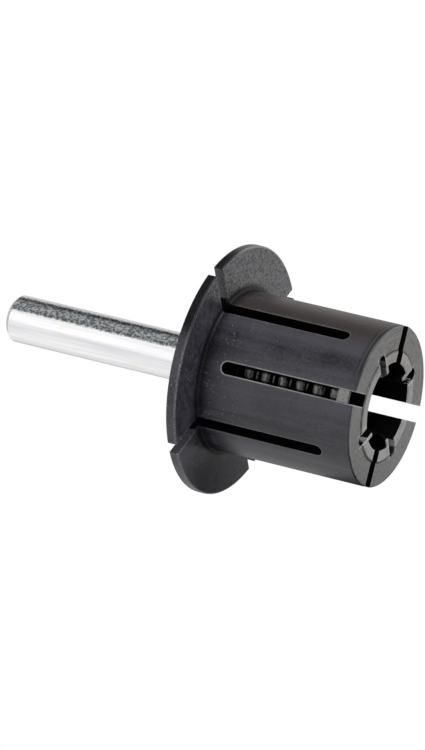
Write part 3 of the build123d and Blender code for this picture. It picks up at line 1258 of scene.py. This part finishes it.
@dataclass
class RetainerRing:
    """The C-shaped snap ring at the front, with the four ribs that carry the spring."""

    bore_radius: float = 7.35 * MM
    radius: float = 9.3 * MM
    length: float = 4.6 * MM
    front_round: float = 0.2 * MM
    back_round: float = 0.1 * MM
    bead_round: float = 0.08 * MM
    bead_radius: float = 9.65 * MM
    bead_foot: Span = (1.8 * MM, 3.0 * MM)
    bead_top: Span = (2.15 * MM, 2.65 * MM)
    slit_end: float = 3.6 * MM
    cut_inside: float = 6 * MM
    cut_edge: float = 0.12 * MM
    rib_half: float = 0.3 * MM
    rib_offset: float = 1.33 * MM
    rib_front: float = 0.02 * MM
    rib_slope: float = 1.1 * MM
    rib_back: float = 6.3 * MM
    rib_radii: tuple[float, ...] = (4.9 * MM, 5.9 * MM, 7.7 * MM, 8.8 * MM)
    rib_slices: tuple[tuple[float, float], ...] = ((-1.0, 0.975), (-0.84, 1.0), (0.84, 1.0), (1.0, 0.975))

    def build(self) -> Object:
        """Makes the ring in place of its CAD node.

        Returns:
            The ring.
        """
        slits = SlotPlace(0, 180, SLOT_HALF, -FAR, self.slit_end - SLOT_HALF)
        split = SlotPlace(90, 360, SPLIT_HALF, -FAR, FAR)
        grooves = SlotPlace(GROOVE_ANGLE, 90, SLOT_HALF, -FAR, self.front_round)
        # the ring's light skin tone is painted light on the groove walls; its edge tone is wear and a painted
        # highlight
        tones = {"tone": 0.25, "face_tone": 0.18, "blue": 1.0, "edge_wear_and_highlight_tone": 0.35}
        plastic = RingPlastic((slits, split), grooves, 0.0, self.radius + MM, self.radius, **tones)
        finish, outline = plastic.make("ring_plastic"), rounded(self._section())
        piece = turn_solid("retainer_ring_moulding", outline, finish, cuts=self._cuts(), ribs=self._ribs())
        return stand_for(piece, "sleeve", "retainer_ring")

    def _section(self) -> list[Corner]:
        """Lays out half of the section, with the snap bead outside.

        Returns:
            Its corners.
        """
        return [
            Corner(self.bore_radius, 0, self.front_round),
            Corner(self.radius, 0, self.front_round),
            Corner(self.radius, self.bead_foot[0]),
            Corner(self.bead_radius, self.bead_top[0], self.bead_round),
            Corner(self.bead_radius, self.bead_top[1], self.bead_round),
            Corner(self.radius, self.bead_foot[1]),
            Corner(self.radius, self.length, self.back_round),
            Corner(self.bore_radius, self.length, self.back_round),
        ]

    def _cuts(self) -> list[Pattern]:
        """Makes the cutters of the slits, the split and the grooves.

        Returns:
            The cutters with their places.
        """
        inside, edge = self.cut_inside, self.cut_edge
        wall = {"inside": inside, "skin": self.radius + 0.4 * MM, "open_low": True, "edge": edge}
        groove = Pocket(SLOT_HALF, inside, self.radius + 1.7 * MM, GROOVE_TOP, 0.0, Way.INTO_FACE, edge=edge)
        return [
            Pocket(SLOT_HALF, 0.0, self.slit_end, **wall).pattern("slit", 0, 180, 2),
            Pocket(SPLIT_HALF, 0.0, self.length + MM, **wall).pattern("ring_split", 90),
            groove.pattern("ring_groove", GROOVE_ANGLE, 90, 4),
        ]

    def _ribs(self) -> list[Pattern]:
        """Returns the ribs, which stand beside the grooves, towards 12 and 6 o'clock."""
        low, high = self._rib("rib_low", -self.rib_offset), self._rib("rib_high", self.rib_offset)
        return [Pattern(low, GROOVE_ANGLE, 180, 2), Pattern(high, GROOVE_ANGLE + 90, 180, 2)]

    def _rib(self, name: str, offset: float) -> Object:
        """Makes one rib along +X.

        Args:
            name: Its name.
            offset: How far it is moved sideways.

        Returns:
            The rib.
        """
        nose, slope, back, root = self.rib_radii
        step = self.length - 0.1 * MM
        outline = rounded([
            Corner(root, self.rib_front), Corner(slope, self.rib_front, 0.1 * MM),
            Corner(nose, self.rib_slope, 0.15 * MM), Corner(nose, self.rib_back),
            Corner(back, self.rib_back), Corner(back, step), Corner(root, step),
        ])
        middle = sum(outline, Vector()) / len(outline)
        slices = []
        for share, scale in self.rib_slices:
            scaled = [middle + (point - middle) * scale for point in outline]
            slices.append([Vector((point.x, offset + share * self.rib_half, point.y)) for point in scaled])
        return lofted(name, slices)


@dataclass
class Shank:
    """The plain steel shank, turned down to a spindle in front of the cone's shoulder."""

    radius: float = 4.0 * MM
    spindle_radius: float = 3.8 * MM
    nose: float = 7.6 * MM
    nose_round: float = 0.4 * MM
    shoulder: float = SHOULDER
    shoulder_round: float = 0.06 * MM
    end: float = 70.1 * MM
    end_chamfer: float = 0.9 * MM
    end_rounds: Span = (0.3 * MM, 0.25 * MM)
    grip_grooves: tuple[float, ...] = (25.4 * MM, 27.2 * MM)
    grip_width: float = 0.9 * MM
    grip_depth: float = 0.3 * MM

    def build(self) -> Object:
        """Makes the shank in place of its CAD node.

        Returns:
            The shank.
        """
        finish = ZincPlate().make("shank_steel")
        piece = turn_solid("shank_bar", rounded(self._section(), closed=False), finish, closed=False)
        return stand_for(piece, "plunger", "shank")

    def _section(self) -> list[Corner]:
        """Lays out half of the section, from the nose to the end.

        Returns:
            Its corners.
        """
        spindle = self.spindle_radius
        corners = [Corner(0, self.nose), Corner(spindle, self.nose, self.nose_round)]
        for start in self.grip_grooves:
            bottom, stop = spindle - self.grip_depth, start + self.grip_width
            places = ((spindle, start), (bottom, start), (bottom, stop), (spindle, stop))
            corners += [Corner(across, up) for across, up in places]
        side_round, tip_round = self.end_rounds
        return corners + [
            Corner(spindle, self.shoulder),
            Corner(self.radius, self.shoulder, self.shoulder_round),
            Corner(self.radius, self.end - self.end_chamfer, side_round),
            Corner(self.radius - self.end_chamfer, self.end, tip_round),
            Corner(0, self.end),
        ]


@dataclass
class PhotoCamera:
    """The camera at the photograph's angle: it looks up past the front face, rolled on its side."""

    aim: tuple[float, float, float] = (-1.64 * MM, 0.0, 31.94 * MM)
    distance: float = 823.6 * MM
    elevation: float = -25.55
    roll: float = 76.43
    lens: float = 240.0

    def build(self) -> Object:
        """Makes the camera.

        Returns:
            The camera.
        """
        data = bpy.data.cameras.new("photo_camera")
        data.lens = self.lens
        data.clip_start = self.distance / 100
        data.clip_end = self.distance * 10
        camera = placed("photo_camera", data)
        level = Matrix.Rotation(math.radians(90 - self.elevation), 4, "X")
        turned = level @ Matrix.Rotation(math.radians(-self.roll), 4, "Z")
        back = turned @ Vector((0, 0, 1))
        camera.matrix_world = Matrix.Translation(Vector(self.aim) + back * self.distance) @ turned
        return camera


@dataclass
class Studio:
    """A white tent with dark bands, a softbox, a black card and a pale floor.

    The stops give the light of the tent round Z, from +Y through +X, as degrees and strength.
    """

    floor_radius: float = 0.6
    floor_tone: float = 0.86
    tent: float = 0.9
    key_power: float = 1.5
    key_size: float = 0.3
    key_direction: tuple[float, float, float] = (0.8, -0.25, -0.4)
    key_distance: float = 0.5
    key_height: float = 25 * MM
    flag_tone: float = 0.01
    flag_x: Span = (-0.25, -0.0142)
    flag_y: float = 0.025
    flag_z: Span = (-0.2, 0.02)
    back_stops: tuple[tuple[float, float], ...] = (
        (0, 0.6), (30, 0.65), (50, 0.65), (58, 0.15), (72, 0.02), (80, 0.2), (92, 0.33), (112, 0.4),
        (132, 0.25), (143, 0.25), (151, 1.0), (190, 1.2), (215, 0.85), (270, 1.0), (312, 0.85), (340, 0.55),
        (359, 0.55),
    )
    front_stops: tuple[tuple[float, float], ...] = (
        (0, 1.25), (35, 1.15), (90, 0.9), (140, 0.5), (180, 0.5), (225, 0.4), (275, 0.5), (325, 1.0),
        (359, 1.25),
    )

    def build(self) -> None:
        """Makes the camera, the world, the lamp, the card and the floor."""
        scene = bpy.context.scene
        scene.view_settings.view_transform = "Standard"
        scene.camera = PhotoCamera().build()
        self._world()
        self._key()
        self._flag()
        self._floor()

    def _world(self) -> None:
        """Lights the scene evenly, shows what is glossy the dark bands, and the camera plain white."""
        world = bpy.data.worlds.new("tent")
        bpy.context.scene.world = world
        world.use_nodes = True
        world.cycles.sampling_method = "NONE"
        world.node_tree.nodes.clear()
        tree = TreeBuilder(world.node_tree)
        seen, glossy = tree.ray("Camera") | tree.ray("Transmission"), tree.ray("Glossy")
        strength = seen + (1 - seen) * (glossy * self._mirrored(tree) + (1 - glossy) * self.tent)
        light = tree.node("ShaderNodeBackground", {}, {"Color": grey(1.0), "Strength": strength})
        tree.node("ShaderNodeOutputWorld", {}, {"Surface": light})

    def _mirrored(self, tree: TreeBuilder) -> Wire:
        """Makes the tent as what is glossy mirrors it.

        Args:
            tree: The world's tree.

        Returns:
            Its strength in the direction of a ray.
        """
        x, y, z = tree.axes(tree.node("ShaderNodeTexCoord", {}, {}, "Generated"))
        turn = (x.apply("ARCTAN2", y) / (2 * math.pi)).apply("FRACT")
        back = self._round_tent(tree, turn, self.back_stops)
        front = self._round_tent(tree, turn, self.front_stops) * z.ramp(-0.95, -0.65)
        share = z.ramp(-0.15, 0.15)
        return share * back + (1 - share) * front

    @staticmethod
    def _round_tent(tree: TreeBuilder, turn: Wire, stops: Sequence[tuple[float, float]]) -> Wire:
        """Makes the light of half of the tent.

        Args:
            tree: The world's tree.
            turn: The direction, as a share of a full turn.
            stops: The light as degrees and strength.

        Returns:
            Its strength in that direction.
        """
        peak = max(strength for _, strength in stops)
        marks = [(degrees / 360, grey(strength / peak)) for degrees, strength in stops]
        return tree.node("ShaderNodeValToRGB", {"stops": marks}, {"Fac": turn}) * peak

    def _key(self) -> None:
        """Adds the square softbox, which faces the part."""
        data = bpy.data.lights.new("key", "AREA")
        data.size = self.key_size
        data.energy = self.key_power
        lamp = placed("key", data)
        away = Vector(self.key_direction).normalized()
        lamp.location = Vector((0, 0, self.key_height)) + away * self.key_distance
        lamp.rotation_euler = away.to_track_quat("Z", "Y").to_euler()

    def _flag(self) -> None:
        """Adds the black card behind the lower half, which only reflections see."""
        (left, right), (low, high) = self.flag_x, self.flag_z
        corners = ((left, low), (right, low), (right, high), (left, high))
        points = [Vector((x, self.flag_y, z)) for x, z in corners]
        card = new_object("flag", points, [], [[0, 1, 2, 3]])
        tree = MaterialBuilder("flag_card")
        card.data.materials.append(tree.paper(self.flag_tone, tree.ray("Glossy")))

    def _floor(self) -> None:
        """Adds the floor, which only a camera above it sees."""
        mesh = bpy.data.meshes.new("floor")
        shape = bmesh.new()
        bmesh.ops.create_circle(shape, cap_ends=True, radius=self.floor_radius, segments=96)
        shape.to_mesh(mesh)
        shape.free()
        floor = placed("floor", mesh)
        tree = MaterialBuilder("floor_paper")
        below = tree.node("ShaderNodeNewGeometry", {}, {}, "Backfacing")
        mesh.materials.append(tree.paper(self.floor_tone, tree.ray("Camera") * (1 - below)))


def dress(node: str, material: Material) -> Object:
    """Gives a kept CAD node its material.

    Args:
        node: The node's name.
        material: The material.

    Returns:
        The node's object.
    """
    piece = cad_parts[node]
    piece.data.materials.clear()
    piece.data.materials.append(material)
    return piece


def main() -> None:
    """Builds the studio and the pieces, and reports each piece."""
    logging.basicConfig(level=logging.INFO, format="%(name)s: %(message)s")
    Studio().build()
    pieces = [part.build() for part in (Sleeve(), RetainerRing(), Shank())]
    pieces.append(dress("spring", SpringWire().make("spring_steel")))
    pieces.append(dress("expander_cone", ConePlastic().make("cone_plastic")))
    for piece in pieces:
        LOG.info("%s has %d faces", piece.name, len(piece.data.polygons))


if __name__ == "__main__":
    main()
